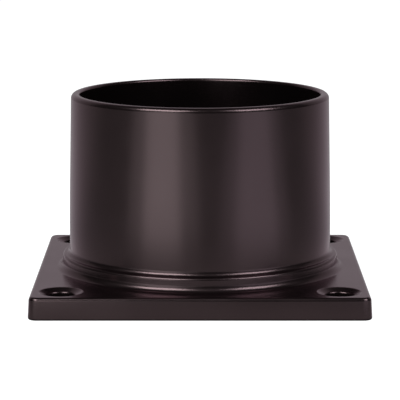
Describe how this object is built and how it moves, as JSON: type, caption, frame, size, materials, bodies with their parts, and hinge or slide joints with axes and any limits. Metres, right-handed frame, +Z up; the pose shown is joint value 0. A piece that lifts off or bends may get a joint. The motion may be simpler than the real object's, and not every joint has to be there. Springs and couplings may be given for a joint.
{
  "type": "pier mount base",
  "caption": "Square cast mounting plate with corner screw holes and a round open collar on a stepped ring, which takes a lantern's post fitter.",
  "frame": {"origin": "centre of the plate's underside, on the collar's axis", "axes": "+Z up along the collar's axis, X and Y along the plate's sides"},
  "size_m": [0.0944, 0.0944, 0.0571],
  "materials": {
    "bronze_paint": "satin"
  },
  "bodies": {
    "root": {"base_casting": "bronze_paint"}
  },
  "joints": []
}
